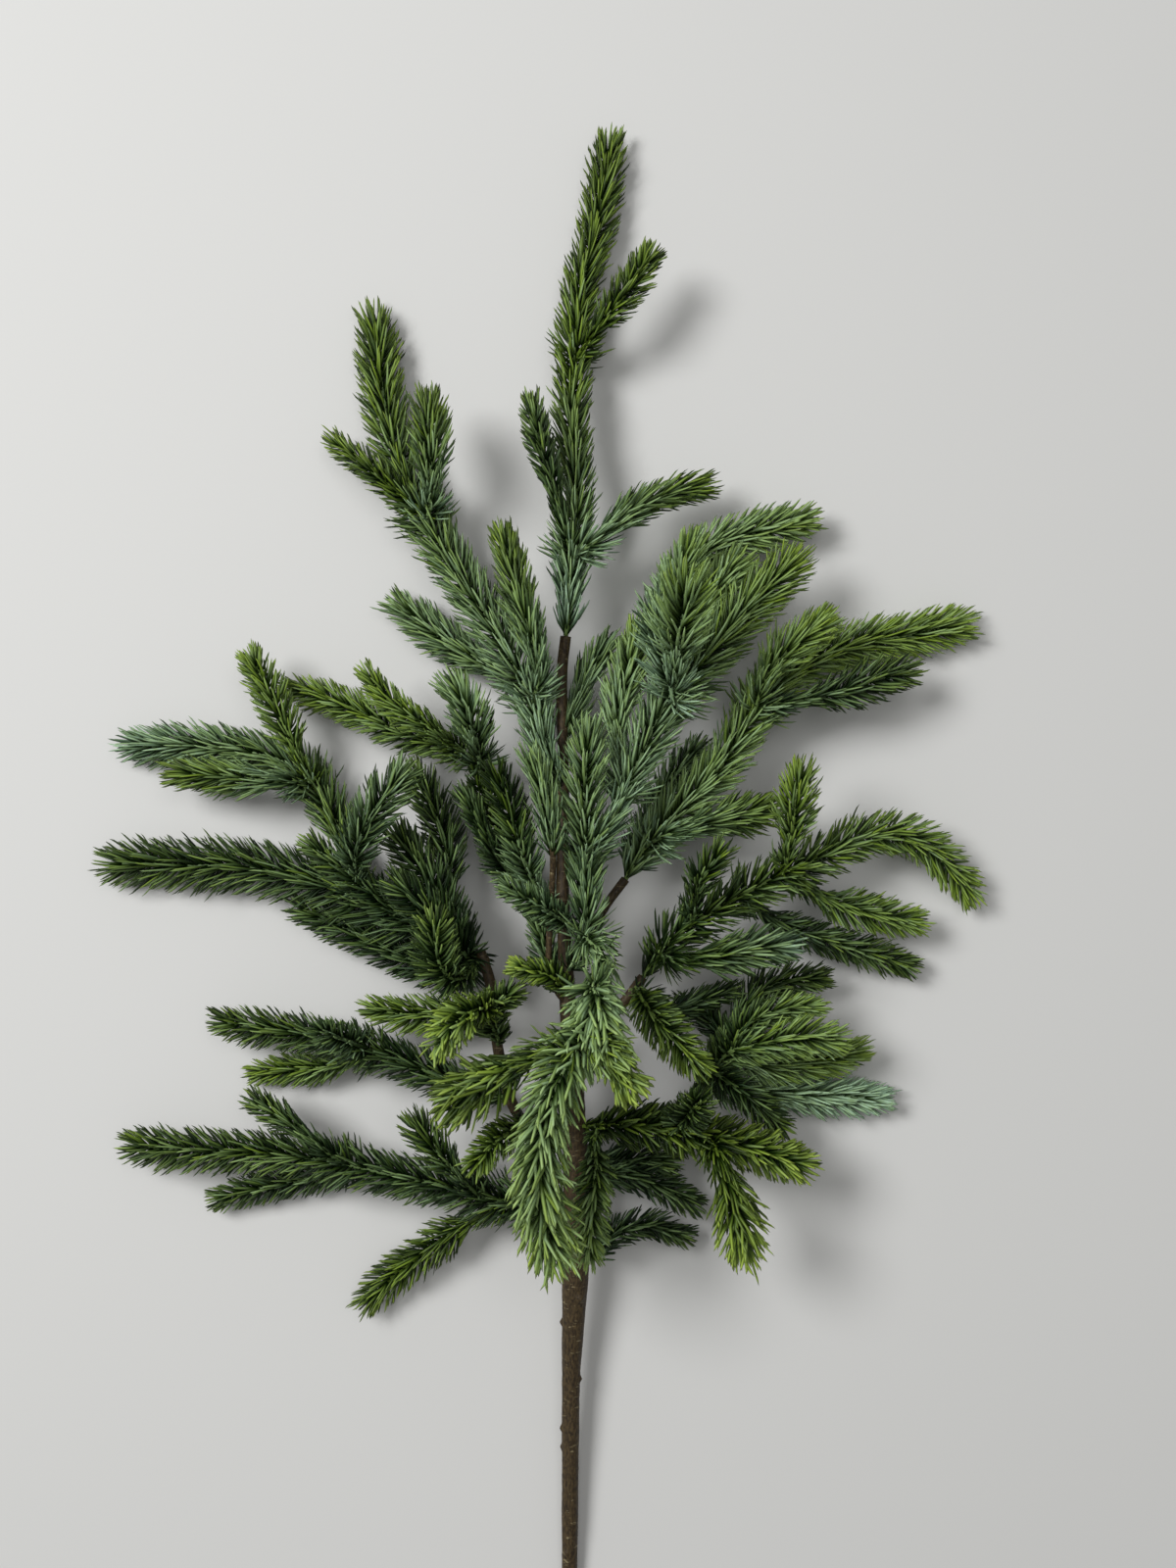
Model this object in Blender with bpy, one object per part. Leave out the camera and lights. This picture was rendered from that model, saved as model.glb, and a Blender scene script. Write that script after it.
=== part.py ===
"""A decorative blue spruce branch, laid down: a bare, bark-textured stem with side stems, and the
needled shoots that fork from them. Each shoot is one closed envelope that reaches its needle tips.

Metres, +Z up, +Y from the cut end of the stem towards the leader's tip. Run it in Blender.
"""

import bpy
import numpy as np
from mathutils import Vector

MM = 0.001

# The stem lies on average this high, and routes are drawn on a plan at that height.
STEM_HEIGHT = 35.0
# Plan points are drawn as they look from this far above the stem, so a point that stands higher
# is nearer to the eye and is pulled in towards the middle of the plan.
EYE_HEIGHT = 900.0

GAP = 0.5            # left between neighbours, also where a shoot grows out of its parent
SHOOT_SIDES = 8      # the corners of an envelope's cross-section
STEM_SIDES = 14
SHOOT_STEP = 13.0    # between the rings of an envelope
STEM_STEP = 16.0
BASE_CONE = 1.5      # the blunt closed end where a shoot starts
TIP_CONE = 7.0       # the pointed closed end where its needles meet
NECK = 2.0           # the least radius of an envelope, just outside its parent
SWELL = 14.0         # an envelope reaches its full radius this far from its start
SLOW_SWELL = {"centre_leader": 60.0, "front_leader": 45.0}    # these widen over a longer stretch
BARE_STALK = {"centre_left_shoot": 72.0}                      # and this one first has a bare wire stalk

# Radii of the main stem along its length, from the cut end up: it is thickest where the side
# stems leave it, and it thins to a wire under the top leader.
MAIN_STEM = [
    ((-9.5, -415, 4), 4.0), ((-9, -340, 11), 4.4), ((-8.5, -300, 15), 4.8), ((-7.5, -275, 18), 5.8),
    ((-6.5, -250, 22), 7.2), ((-6, -200, 29), 6.8), ((-8, -150, 35), 5.4), ((-11, -100, 37), 3.9),
    ((-13, -50, 37), 3.2), ((-12.5, 0, 37), 2.9), ((-13.5, 50, 38), 2.9), ((-11.5, 74, 39), 2.8),
]
BARK_SWELL = 0.03    # every third ring of a stem's bark stands out by this share of its radius

# Bare side stems: route and radius. Each starts on the main stem's centre line.
SIDE_STEMS = {
    "right_stem": ([(-11, -103, 37), (-1, -81, 36), (10, -61, 33), (19, -49, 31)], 2.3),
    "mid_right_stem": ([(-8, -148, 36), (3, -131, 39), (15, -116, 38), (28, -99, 35)], 2.6),
    "left_stem": ([(-6.5, -215, 28), (-20, -195, 36), (-32, -175, 38), (-40, -160, 38), (-46, -135, 38),
                   (-49, -110, 38), (-51, -95, 37), (-55, -86, 36)], 2.8),
}

# Needled shoots: route, then envelope radius at the base and towards the tip. A leader comes
# before its side shoots, and a shoot keeps clear of those above it in this list.
SHOOTS = {
    "top_leader": ([(-11, 75, 40), (-9, 108, 38), (-6, 145, 33), (-8, 180, 27), (-7, 215, 20),
                    (-4, 250, 15),
                    (3, 277, 12), (8, 305, 10), (13, 338, 9)], 9, 11),
    "top_left_shoot": ([(-10, 120, 38), (-17, 150, 46), (-24, 172, 47), (-28, 190, 45),
                        (-30, 204, 42)], 8, 8),
    "top_right_shoot": ([(-8, 112, 38), (0, 120, 42), (10, 129, 40), (22, 139, 35), (40, 147, 30),
                         (57, 151, 26), (70, 154, 23)], 8.5, 8),
    "top_upper_shoot": ([(-5, 218, 22), (8, 236, 34), (23, 255, 37), (30, 268, 38),
                         (38, 277, 38)], 10, 9.5),

    "upper_left_leader": ([(-13, -4, 37), (-21, 12, 46), (-25, 30, 44), (-31, 48, 41), (-41, 67, 39),
                           (-51, 83, 36), (-60, 98, 32), (-70, 113, 28), (-79, 128, 24), (-88, 144, 20),
                           (-97, 165, 16), (-104, 195, 12), (-108, 228, 10.5),
                           (-112, 249, 10)], 13.5, 10.5),
    "upper_left_inner": ([(-80, 136, 26), (-80, 153, 42), (-80, 170, 47), (-81, 185, 45), (-81, 207, 40)],
                         11, 11),
    "upper_left_near": ([(-24, 46, 44), (-26, 62, 60), (-33, 87, 63), (-40, 113, 58),
                         (-45, 137, 50)], 9, 8.5),
    "upper_left_low": ([(-28, 46, 38), (-40, 54, 26), (-55, 62, 19), (-73, 73, 15), (-90, 86, 12),
                        (-107, 97, 12)], 11, 10.5),

    "inner_left_leader": ([(-12, -72, 37), (-20, -63, 30), (-33, -52, 25), (-44, -40, 23), (-50, -22, 24),
                           (-54, -2, 27), (-57, 17, 30)], 9.5, 9),
    "inner_left_outer": ([(-55, 8, 28), (-63, 15, 26), (-72, 19, 28), (-95, 26, 29), (-115, 36, 25),
                          (-135, 44, 20), (-160, 50, 16)], 10, 10),
    "inner_left_crown": ([(-55, 8, 30), (-56, 19, 45), (-59, 30, 54), (-63, 41, 57),
                          (-77, 59, 53)], 11.5, 11),
    "inner_left_upper": ([(-68, 18, 30), (-77, 26, 47), (-91, 34, 50), (-105, 46, 47),
                          (-118, 64, 42)], 8, 8),
    "inner_left_broad": ([(-20, -63, 32), (-27, -52, 44), (-34, -35, 52), (-39, -16, 55), (-45, 0, 57),
                          (-52, 14, 57)], 11, 11),
    "inner_left_low": ([(-44, -41, 27), (-50, -31, 38), (-56, -19, 41), (-63, -7, 40), (-72, 0, 37)],
                       10.5, 10.5),

    "centre_leader": ([(-11, -97, 40), (-2, -82, 50), (-1, -65, 54), (-1, -48, 56), (-1, -30, 60),
                       (-2, -12, 66), (-1, 8, 70), (0, 22, 70), (2, 39, 68)], 9.5, 13),
    "centre_left_shoot": ([(-11, -112, 37), (-17, -104, 43), (-20, -92, 48), (-19, -65, 54), (-18, -45, 60),
                           (-18, -34, 65), (-20, -18, 71), (-24, 0, 75), (-28, 12, 76), (-33, 25, 77)],
                          8.5, 8.5),
    "centre_low_shoot": ([(-12, 18, 37), (-8, 33, 36), (-2, 50, 35), (6, 65, 33), (18, 80, 30)], 9, 9),

    "upper_right_leader": ([(-1, -36, 58), (10, -24, 62), (18, -5, 64), (26, 12, 62), (34, 30, 58),
                            (43, 44, 54), (55, 58, 50), (67, 72, 48), (80, 88, 45), (96, 104, 42),
                            (113, 122, 38)], 13, 13.5),
    "upper_right_crown": ([(43, 44, 54), (45, 60, 72), (47, 77, 88), (50, 94, 99), (52, 110, 112)], 15, 18),
    "upper_right_outer": ([(45, 46, 50), (42, 66, 33), (42, 86, 27), (47, 105, 25), (60, 119, 23),
                           (78, 126, 21), (98, 131, 19), (123, 137, 17)], 12, 10),
    "upper_right_inner": ([(19, -2, 60), (15, 20, 46), (16, 38, 44), (20, 55, 43), (25, 74, 41),
                           (30, 90, 38)],
                          10, 10),

    "right_leader": ([(20, -47, 31), (28, -34, 32), (40, -21, 34), (52, -8, 36), (67, 8, 36), (78, 25, 34),
                      (88, 41, 31), (100, 54, 27), (120, 65, 20), (140, 72, 15), (160, 75, 12),
                      (180, 79, 11),
                      (203, 82, 10.5)], 13, 11),
    "right_upper": ([(86, 39, 36), (91, 54, 50), (101, 67, 55), (115, 78, 54), (129, 91, 50)], 11, 11),
    "right_lower": ([(82, 32, 34), (97, 39, 38), (112, 43, 39), (130, 47, 36), (150, 54, 32),
                     (172, 59, 28)],
                    12, 12),
    "right_inner": ([(32, -30, 34), (50, -23, 54), (70, -18, 52), (90, -14, 42), (104, -10, 34)], 11.5, 11),

    "mid_right_leader": ([(30, -96, 34), (35, -87, 36), (46, -77, 38), (61, -67, 40), (80, -56, 40),
                          (98, -47, 40), (118, -38, 38), (133, -30, 34), (150, -26, 29), (165, -28, 24),
                          (176, -35, 20), (184, -43, 17), (191, -51, 14), (199, -64, 10)], 13, 9),
    "mid_right_upright": ([(99, -47, 42), (103, -32, 55), (105, -17, 60), (107, -2, 60),
                           (111, 14, 57)], 12, 12),
    "mid_right_side": ([(102, -46, 38), (121, -59, 32), (140, -65, 27), (158, -69, 22), (176, -73, 17)],
                       11, 10.5),
    "mid_right_near": ([(53, -70, 42), (56, -54, 60), (61, -44, 66), (75, -27, 69)], 10.5, 10),
    "mid_right_low": ([(80, -58, 36), (95, -70, 24), (112, -77, 19), (135, -84, 15), (155, -90, 12),
                       (173, -96, 12)], 9.5, 9.5),
    "mid_right_blue": ([(35, -87, 38), (48, -90, 52), (68, -88, 57), (88, -84, 56),
                        (114, -83, 50)], 11, 10.5),

    "lower_right_leader": ([(-7, -176, 34), (10, -174, 42), (30, -175, 45), (50, -178, 46), (68, -182, 46),
                            (83, -186, 48), (98, -191, 48), (116, -197, 45)], 13, 13),
    "lower_right_hanging": ([(60, -180, 48), (68, -194, 62), (74, -211, 66), (78, -229, 64),
                             (82, -250, 58)],
                            13, 12.5),

    "right_low_leader": ([(42, -177, 42), (56, -160, 32), (65, -145, 32), (74, -136, 38), (89, -133, 44),
                          (107, -130, 46), (125, -131, 44), (136, -133, 42)], 10, 12.5),
    "right_low_upper": ([(68, -141, 33), (74, -125, 26), (84, -109, 24), (100, -101, 22), (128, -99, 20)],
                        10, 9.5),
    "right_low_blue": ([(62, -150, 30), (74, -157, 19), (92, -158, 15), (115, -159, 12), (135, -160, 10.5),
                        (161, -162, 10)], 10.5, 10.5),
    "right_low_near": ([(24, -103, 38), (30, -114, 56), (41, -127, 62), (51, -139, 62), (62, -149, 58)],
                       12, 11.5),

    "front_leader": ([(-2, -78, 52), (5, -86, 72), (6, -100, 82), (3, -115, 90), (-1, -129, 95),
                      (-10, -142, 99), (-18, -160, 102), (-23, -180, 103), (-25, -200, 102),
                      (-22, -222, 98), (-14, -252, 90)], 10, 15.5),
    "front_left": ([(0, -126, 94), (-10, -131, 97), (-22, -137, 97), (-38, -145, 94), (-55, -154, 88),
                    (-80, -172, 80)], 13, 13),
    "front_right": ([(1, -122, 92), (7, -134, 100), (14, -145, 102), (21, -154, 101),
                     (30, -165, 99)], 14, 15),
    "front_dark": ([(2, -175, 43), (4, -195, 64), (2, -217, 66), (0, -250, 60)], 10.5, 10.5),

    "left_leader": ([(-55, -92, 36), (-62, -86, 36), (-74, -79, 35), (-88, -72, 31), (-104, -65, 28),
                     (-118, -58, 25), (-134, -51, 21), (-157, -46, 17), (-180, -42, 14), (-200, -42, 12),
                     (-225, -41, 11), (-251, -41, 10.5)], 17, 11),
    "left_blue": ([(-117, -51, 30), (-119, -39, 50), (-115, -25, 56), (-107, -11, 57), (-98, 0, 54),
                   (-88, 11, 50)], 13, 12.5),
    "left_dark": ([(-72, -73, 34), (-71, -52, 28), (-72, -35, 24), (-77, -17, 22), (-85, -1, 19),
                   (-94, 13, 16)], 11.5, 11),
    "left_crown": ([(-57, -92, 40), (-65, -100, 55), (-74, -96, 66), (-78, -80, 73),
                    (-79, -63, 78)], 13.5, 13),
    "left_hanging": ([(-49, -110, 38), (-51, -114, 60), (-58, -116, 77), (-69, -123, 82), (-78, -141, 77)],
                     11.5, 12.5),
    "left_middle": ([(-47, -122, 38), (-75, -118, 34), (-93, -118, 30), (-119, -113, 26)], 10.5, 10),

    "far_left_leader": ([(-119, -50, 25), (-124, -33, 17), (-131, -16, 15), (-139, -3, 15), (-148, 7, 14),
                         (-161, 13, 13), (-180, 17, 12), (-200, 19, 11), (-225, 19, 10.5), (-246, 19, 10)],
                        12, 11),
    "far_left_low": ([(-142, 1, 18), (-155, 1, 29), (-172, 2, 32), (-193, 4, 29), (-222, 6, 25)], 9.5, 9),
    "far_left_up": ([(-143, 1, 18), (-148, 15, 30), (-155, 30, 34), (-163, 47, 34),
                     (-176, 72, 30)], 10.5, 10),

    "left_low_leader": ([(-41, -160, 36), (-60, -157, 28), (-77, -149, 25), (-97, -141, 26),
                         (-114, -135, 28), (-132, -131, 28), (-150, -127, 26), (-172, -124, 23),
                         (-197, -120, 20)], 12, 8.5),
    "left_low_under": ([(-108, -138, 27), (-130, -144, 14), (-150, -146, 10), (-179, -148, 9)], 9.5, 9),

    "lower_left_leader": ([(-7, -220, 27), (-28, -215, 32), (-50, -212, 32), (-70, -206, 33),
                           (-90, -202, 33),
                           (-108, -198, 32), (-125, -194, 30), (-150, -190, 27), (-175, -188, 25),
                           (-205, -187, 22), (-241, -184, 19)], 12.5, 11),
    "lower_left_down": ([(-40, -213, 30), (-55, -221, 24), (-68, -228, 19), (-83, -239, 15),
                         (-100, -252, 11.5),
                         (-119, -271, 10)], 11, 10.5),
    "lower_left_upper": ([(-122, -196, 31), (-139, -183, 38), (-153, -173, 36), (-178, -157, 28)], 10, 9.5),
    "lower_left_near": ([(-55, -211, 32), (-66, -200, 48), (-77, -188, 52), (-94, -166, 48)], 12, 11.5),
}

BARK = ("bark_brown", (0.16, 0.115, 0.08), 0.8)
NEEDLES = ("needle_green", (0.075, 0.15, 0.055), 0.55)


def placed(point):
    """Turns a plan point (x, y, height) in millimetres into a place in space, also in millimetres."""
    x, y, z = point
    scale = 1.0 - (z - STEM_HEIGHT) / EYE_HEIGHT
    return np.array((x * scale, y * scale, z))


def smooth_route(points, step):
    """A Catmull-Rom curve through the points, read off at even distances of about the step."""
    knots = np.array([placed(p) for p in points])
    padded = np.vstack((2 * knots[0] - knots[1], knots, 2 * knots[-1] - knots[-2]))
    t = np.linspace(0.0, 1.0, 24, endpoint=False)[:, None]
    pieces = []
    for a, b, c, d in zip(padded, padded[1:], padded[2:], padded[3:]):
        pieces.append(0.5 * (2 * b + (c - a) * t + (2 * a - 5 * b + 4 * c - d) * t**2
                             + (3 * b - a - 3 * c + d) * t**3))
    fine = np.vstack(pieces + [knots[-1:]])
    run = np.concatenate(([0.0], np.cumsum(np.linalg.norm(np.diff(fine, axis=0), axis=1))))
    count = max(int(round(run[-1] / step)) + 1, 4)
    at = np.linspace(0.0, run[-1], count)
    return np.column_stack([np.interp(at, run, fine[:, i]) for i in range(3)]), at


def room(points, neighbours):
    """The largest radius at each point that stays clear of every ball of the placed neighbours."""
    centres = np.vstack([centre for centre, _ in neighbours])
    radii = np.concatenate([radius for _, radius in neighbours])
    apart = np.linalg.norm(points[:, None, :] - centres[None, :, :], axis=2)
    return (apart - radii[None, :]).min(axis=1) - GAP


def shoot_rings(points, base_radius, tip_radius, stalk, swell_length, neighbours):
    """Centres and radii of an envelope: a neck or bare stalk, a swell to full size and a taper to the tip."""
    fine, at = smooth_route(points, 1.0)
    free = room(fine, neighbours)
    first = int(np.argmax(free > NECK))
    start, end = at[first], at[-1]
    count = max(int(round((end - start) / SHOOT_STEP)) + 1, 4)
    stations = np.linspace(start + BASE_CONE, end - TIP_CONE, count)
    centres = np.column_stack([np.interp(stations, at, fine[:, i]) for i in range(3)])
    share = (stations - start) / (end - start)
    full = base_radius + (tip_radius - base_radius) * share
    swell = np.sin(0.5 * np.pi * np.clip((stations - start - stalk) / swell_length, 0.0, 1.0))
    taper = np.sqrt(np.clip((end - stations) / 22.0, 0.0, 1.0))
    wanted = NECK + (full - NECK) * swell * taper
    radii = np.minimum(wanted, np.interp(stations, at, free))
    ends = [np.array([np.interp(s, at, fine[:, i]) for i in range(3)]) for s in (start, end)]
    return centres, radii, ends[0], ends[1]


def balls(centres, radii, start, end):
    """Closely spaced balls along a finished tube, for keeping later ones clear of it."""
    points = np.vstack((start, centres, end))
    sizes = np.concatenate(([radii[0] * 0.5], radii, [1.0]))
    run = np.concatenate(([0.0], np.cumsum(np.linalg.norm(np.diff(points, axis=0), axis=1))))
    at = np.arange(0.0, run[-1], 2.0)
    filled = np.column_stack([np.interp(at, run, points[:, i]) for i in range(3)])
    return filled, np.interp(at, run, sizes)


def frames(centres, start, end):
    """Two unit vectors across the route at each ring, carried along it without twist."""
    points = np.vstack((start, centres, end))
    tangents = points[2:] - points[:-2]
    tangents /= np.linalg.norm(tangents, axis=1)[:, None]
    across = []
    side = Vector((0.0, 0.0, 1.0))
    for tangent in tangents:
        axis = Vector(tangent)
        side = side - axis * side.dot(axis)
        if side.length < 1e-3:
            side = axis.orthogonal()
        side.normalize()
        across.append((side.copy(), axis.cross(side)))
    return across


def tube_mesh(name, centres, radii, start, end, sides):
    """A closed round tube with a point at each end."""
    points = [tuple(start)]
    for centre, radius, (u, v) in zip(centres, radii, frames(centres, start, end)):
        for corner in range(sides):
            angle = 2.0 * np.pi * (corner + 0.5) / sides
            offset = (u * np.cos(angle) + v * np.sin(angle)) * float(radius)
            points.append(tuple(centre + np.array(offset)))
    points.append(tuple(end))
    rings = len(centres)
    faces = []
    for corner in range(sides):
        after = (corner + 1) % sides
        faces.append((0, 1 + after, 1 + corner))
        for ring in range(rings - 1):
            low, high = 1 + ring * sides, 1 + (ring + 1) * sides
            faces.append((low + corner, low + after, high + after, high + corner))
        last = 1 + (rings - 1) * sides
        faces.append((last + corner, last + after, len(points) - 1))
    mesh = bpy.data.meshes.new(name)
    mesh.from_pydata([Vector(p) * MM for p in points], [], faces)
    mesh.validate()
    mesh.shade_smooth()
    return mesh


def finish_material(name, colour, roughness):
    """A plain Principled material."""
    material = bpy.data.materials.new(name)
    material.use_nodes = True
    shader = material.node_tree.nodes["Principled BSDF"]
    shader.inputs["Base Color"].default_value = (*colour, 1.0)
    shader.inputs["Roughness"].default_value = roughness
    shader.inputs["Metallic"].default_value = 0.0
    return material


def add_piece(name, mesh, material, parent):
    """Puts a mesh into the scene as its own object."""
    piece = bpy.data.objects.new(name, mesh)
    bpy.context.scene.collection.objects.link(piece)
    mesh.materials.append(material)
    piece.parent = parent
    return piece


def add_main_stem(parent, neighbours):
    """The bare stem, from its plain cut end to the base of the top leader."""
    route = [point for point, _ in MAIN_STEM]
    centres, at = smooth_route(route, STEM_STEP)
    knots = np.array([placed(p) for p in route])
    run = np.concatenate(([0.0], np.cumsum(np.linalg.norm(np.diff(knots, axis=0), axis=1))))
    radii = np.interp(at / at[-1], run / run[-1], [radius for _, radius in MAIN_STEM])
    radii *= 1.0 + BARK_SWELL * np.cos(2.0 * np.pi * np.arange(len(at)) / 3.0)
    start = centres[0] + (centres[0] - centres[1]) * 0.02
    end = centres[-1] + (centres[-1] - centres[-2]) * 0.08
    mesh = tube_mesh("main_stem", centres, radii, start, end, STEM_SIDES)
    neighbours.append(balls(centres, radii, start, end))
    return add_piece("main_stem", mesh, finish_material(*BARK), parent)


def add_side_stem(name, points, radius, parent, neighbours):
    """A bare side stem that starts just outside the main stem."""
    fine, at = smooth_route(points, 1.0)
    first = int(np.argmax(room(fine, neighbours) > radius))
    count = max(int(round((at[-1] - at[first]) / STEM_STEP)) + 1, 4)
    stations = np.linspace(at[first] + 0.8, at[-1] - 0.8, count)
    centres = np.column_stack([np.interp(stations, at, fine[:, i]) for i in range(3)])
    radii = radius * (1.0 + BARK_SWELL * np.cos(2.0 * np.pi * np.arange(count) / 3.0))
    radii = np.minimum(radii, np.interp(stations, at, room(fine, neighbours)))
    mesh = tube_mesh(name, centres, radii, fine[first], fine[-1], SHOOT_SIDES)
    neighbours.append(balls(centres, radii, fine[first], fine[-1]))
    return add_piece(name, mesh, finish_material(*BARK), parent)


def add_shoot(name, points, base_radius, tip_radius, parent, neighbours):
    """A needled shoot's envelope, grown from its parent's surface."""
    stalk, swell_length = BARE_STALK.get(name, 0.0), SLOW_SWELL.get(name, SWELL)
    centres, radii, start, end = shoot_rings(points, base_radius, tip_radius, stalk, swell_length, neighbours)
    mesh = tube_mesh(name, centres, radii, start, end, SHOOT_SIDES)
    neighbours.append(balls(centres, radii, start, end))
    return add_piece(name, mesh, finish_material(*NEEDLES), parent)


def lay_down(holder, pieces):
    """Moves the whole branch so that it rests on z = 0 over the middle of its own outline."""
    points = np.array([v.co for piece in pieces for v in piece.data.vertices])
    low, high = points.min(axis=0), points.max(axis=0)
    middle = (low + high) * 0.5
    holder.location = (-middle[0], -middle[1], -low[2])


def main():
    for old in list(bpy.data.objects):
        bpy.data.objects.remove(old)
    branch = bpy.data.objects.new("branch", None)
    bpy.context.scene.collection.objects.link(branch)
    neighbours = []
    pieces = [add_main_stem(branch, neighbours)]
    for name, (points, radius) in SIDE_STEMS.items():
        pieces.append(add_side_stem(name, points, radius, branch, neighbours))
    for name, (points, base_radius, tip_radius) in SHOOTS.items():
        pieces.append(add_shoot(name, points, base_radius, tip_radius, branch, neighbours))
    lay_down(branch, pieces)


main()
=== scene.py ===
"""The looks of the blue spruce branch: soft moulded needles on thin twigs, and a bark-textured stem.

Each needled shoot of the frame is a closed envelope. Its middle line is read from the envelope's rings, a
twig runs along that line back into the stem or shoot that it forks from, and rows of needles stand round the
twig and just reach the envelope. Lengths are in millimetres until a mesh is made.
"""

import bpy
import numpy as np
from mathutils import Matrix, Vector


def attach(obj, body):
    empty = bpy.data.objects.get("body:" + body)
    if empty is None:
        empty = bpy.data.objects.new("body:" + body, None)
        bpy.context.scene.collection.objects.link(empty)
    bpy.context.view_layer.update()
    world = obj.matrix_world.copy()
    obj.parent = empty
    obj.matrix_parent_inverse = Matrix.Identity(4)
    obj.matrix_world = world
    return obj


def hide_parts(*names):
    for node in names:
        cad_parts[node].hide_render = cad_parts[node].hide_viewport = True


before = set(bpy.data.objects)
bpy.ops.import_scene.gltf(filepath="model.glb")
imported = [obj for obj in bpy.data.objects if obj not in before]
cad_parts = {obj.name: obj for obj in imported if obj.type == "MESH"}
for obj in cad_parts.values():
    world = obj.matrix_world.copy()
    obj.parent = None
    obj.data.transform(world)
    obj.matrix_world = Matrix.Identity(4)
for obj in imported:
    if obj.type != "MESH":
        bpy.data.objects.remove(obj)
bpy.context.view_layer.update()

MM = 0.001
BODY = "root"

# The eye looks straight down from this far above the stem. The small twigs are drawn on a plan at the stem's
# height, as they look from there, so what stands higher is drawn in towards the plan's origin.
EYE_ABOVE_STEM = 900.0
STEM_HEIGHT = 35.0
CUT_END_ON_PLAN = (-9.5, -415.0, 4.0)
VIEW_HEIGHT = 800.0      # what the view's long side takes in at the stem's height

FLOOR_CLEARANCE = 0.9    # a needle's middle line stays this far above the floor
LOWEST = 0.15            # and no corner of any piece is lower than this

# ------------------------------ colours


def linear(hex_colour):
    """An sRGB hex colour as the linear RGBA that a socket takes."""
    parts = [int(hex_colour[i:i + 2], 16) / 255.0 for i in (1, 3, 5)]
    return tuple(c / 12.92 if c <= 0.04045 else ((c + 0.055) / 1.055) ** 2.4 for c in parts) + (1.0,)


# How a shoot is dyed, dusted and given painted shade. The numbers are, in order:
# - the share of blue-green dust at its base and at its tip, and how steeply the dust falls off between them;
# - the share of fresh yellow-green at its base and at its tip;
# - how light its needles are at its base and at its tip, partly from their dye and partly painted shade
#   where a shoot lies low or under others;
# - how plump its needles are, where 1 is NEEDLE_WIDTH, and how loosely they lie, where 1 is neatly.
TINTS = {
    "blue": (0.9, 0.6, 1.0, 0.0, 0.1, 0.9, 0.55, 1.15, 1.0),
    "blue_tip": (0.45, 1.0, 1.0, 0.0, 0.1, 0.65, 1.0, 1.2, 1.0),
    "blue_half": (0.75, 0.05, 1.5, 0.0, 0.3, 0.75, 0.5, 1.15, 1.0),
    "blue_end": (0.15, 0.9, 0.5, 0.05, 0.1, 0.55, 0.6, 1.15, 1.0),
    "blue_fade": (0.75, 0.05, 1.0, 0.0, 0.3, 0.6, 0.8, 1.15, 1.0),
    "blue_last": (0.15, 1.0, 0.3, 0.0, 0.1, 0.3, 0.6, 1.3, 1.0),
    "blue_foot": (0.95, 0.0, 4.0, 0.0, 0.3, 0.65, 0.45, 1.1, 1.0),
    "blue_dark": (0.95, 0.0, 1.5, 0.0, 0.1, 1.0, 0.0, 1.1, 1.0),
    "blue_shade": (0.6, 0.35, 1.0, 0.0, 0.1, 0.4, 0.5, 1.1, 1.0),
    "teal": (0.5, 0.4, 1.0, 0.0, 0.15, 0.55, 0.7, 1.2, 1.0),
    "pale_blue": (0.65, 0.2, 1.0, 0.0, 0.25, 1.0, 0.85, 1.35, 1.0),
    "pale": (0.5, 0.1, 2.0, 0.0, 0.3, 0.95, 0.9, 1.15, 1.0),
    "pale_tip": (0.2, 0.1, 1.0, 0.0, 0.3, 0.3, 0.95, 1.15, 1.0),
    "olive": (0.2, 0.05, 1.0, 0.05, 0.35, 0.6, 0.7, 1.15, 1.0),
    "warm": (0.0, 0.0, 1.0, 0.1, 0.4, 0.35, 0.5, 1.1, 1.0),
    "deep": (0.4, 0.15, 1.0, 0.0, 0.25, 0.3, 0.4, 1.1, 1.0),
    "dark": (0.45, 0.25, 1.0, 0.0, 0.2, 0.15, 0.3, 1.2, 1.0),
    "dark_half": (0.25, 0.2, 1.0, 0.0, 0.3, 0.25, 1.0, 1.2, 1.0),
    "tipped": (0.3, 0.2, 1.0, 0.05, 0.5, 0.4, 0.45, 1.15, 1.0),
    "lime": (0.5, 0.25, 1.0, 0.4, 0.6, 0.75, 0.85, 1.55, 1.8),
    "moss": (0.15, 0.05, 1.0, 0.4, 0.8, 0.45, 0.35, 1.6, 2.2),
    "lime_tip": (0.05, 0.1, 1.0, 0.3, 0.8, 0.1, 0.95, 1.4, 2.0),
    "dark_lime": (0.05, 0.0, 1.0, 0.2, 1.0, 0.2, 0.6, 1.4, 1.3),
    "yellow": (0.1, 0.05, 1.0, 0.3, 1.0, 0.75, 0.8, 1.7, 1.8),
    "yellow_tip": (0.0, 0.0, 1.0, 0.35, 0.8, 0.2, 0.85, 1.4, 1.5),
}

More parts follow.
